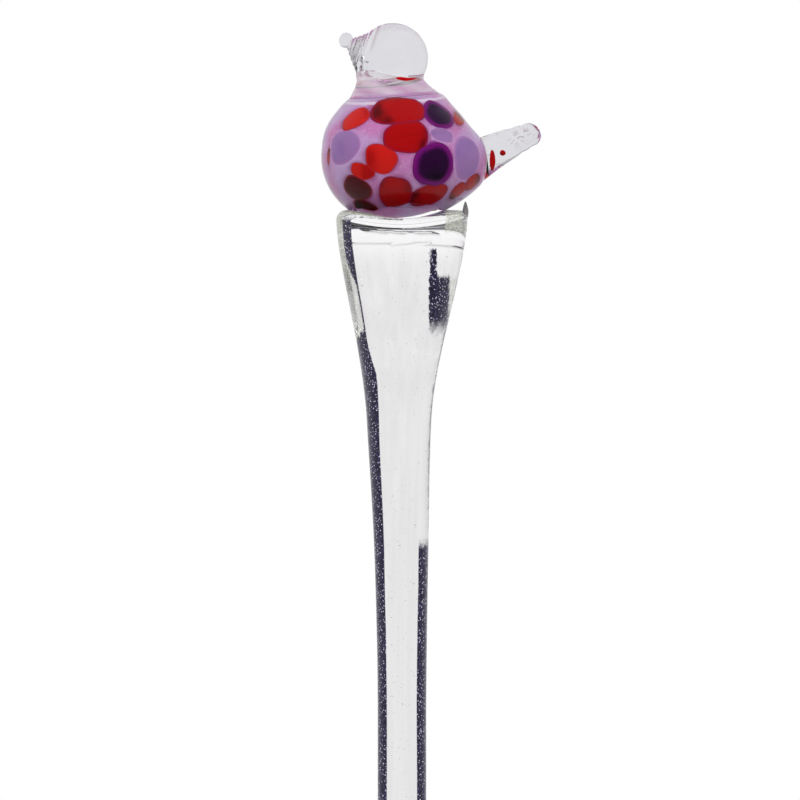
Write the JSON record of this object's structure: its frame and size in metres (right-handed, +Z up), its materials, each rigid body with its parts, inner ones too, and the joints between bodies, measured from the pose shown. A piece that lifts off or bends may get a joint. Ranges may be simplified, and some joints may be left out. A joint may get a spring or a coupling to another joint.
{
  "type": "glass bird plant stake",
  "caption": "Small solid art-glass bird with coloured chips under a clear casing, fused on a long tapering clear glass stake.",
  "frame": {"origin": "on the stake's axis, where its straight round shaft begins below the flare", "axes": "+Z up along the stake, -X towards the beak, Y across the bird"},
  "size_m": [0.0768, 0.046, 0.3205],
  "materials": {
    "clear_glass": "clear polished",
    "seedy_glass": "clear with fine seeds",
    "opal_pink_glass": "opal, polished",
    "red_glass": "dense colour, polished",
    "orange_glass": "dense colour, polished",
    "maroon_glass": "dense colour, polished",
    "purple_glass": "dense colour, polished",
    "lavender_glass": "opal, polished"
  },
  "bodies": {
    "root": {"stake_stem": "seedy_glass", "belly_foot": "clear_glass", "drip": "clear_glass", "body_core": "clear_glass", "ground_layer": "opal_pink_glass", "casing": "clear_glass", "orange_chip_1": "orange_glass", "red_chip_2": "red_glass", "purple_chip_3": "purple_glass", "lavender_chip_4": "lavender_glass", "red_chip_5": "red_glass", "orange_chip_6": "orange_glass", "orange_chip_7": "orange_glass", "purple_chip_8": "purple_glass", "lavender_chip_9": "lavender_glass", "lavender_chip_10": "lavender_glass", "maroon_chip_11": "maroon_glass", "maroon_chip_12": "maroon_glass", "red_chip_13": "red_glass", "red_chip_14": "red_glass", "red_chip_15": "red_glass", "red_chip_16": "red_glass", "red_chip_17": "red_glass", "red_chip_18": "red_glass", "red_chip_19": "red_glass", "purple_chip_20": "purple_glass", "orange_chip_21": "orange_glass", "lavender_chip_22": "lavender_glass", "maroon_chip_23": "maroon_glass", "red_chip_24": "red_glass", "lavender_chip_25": "lavender_glass", "red_chip_26": "red_glass", "orange_chip_27": "orange_glass", "purple_chip_28": "purple_glass", "red_chip_29": "red_glass", "red_chip_30": "red_glass", "lavender_chip_31": "lavender_glass", "red_chip_32": "red_glass", "orange_chip_33": "orange_glass", "maroon_chip_34": "maroon_glass", "orange_chip_35": "orange_glass", "neck_collar": "clear_glass", "neck_trail": "red_glass", "head": "clear_glass", "beak": "clear_glass", "beak_bead": "clear_glass", "tail": "clear_glass", "tail_sliver": "red_glass", "tail_fleck": "red_glass"}
  },
  "joints": []
}
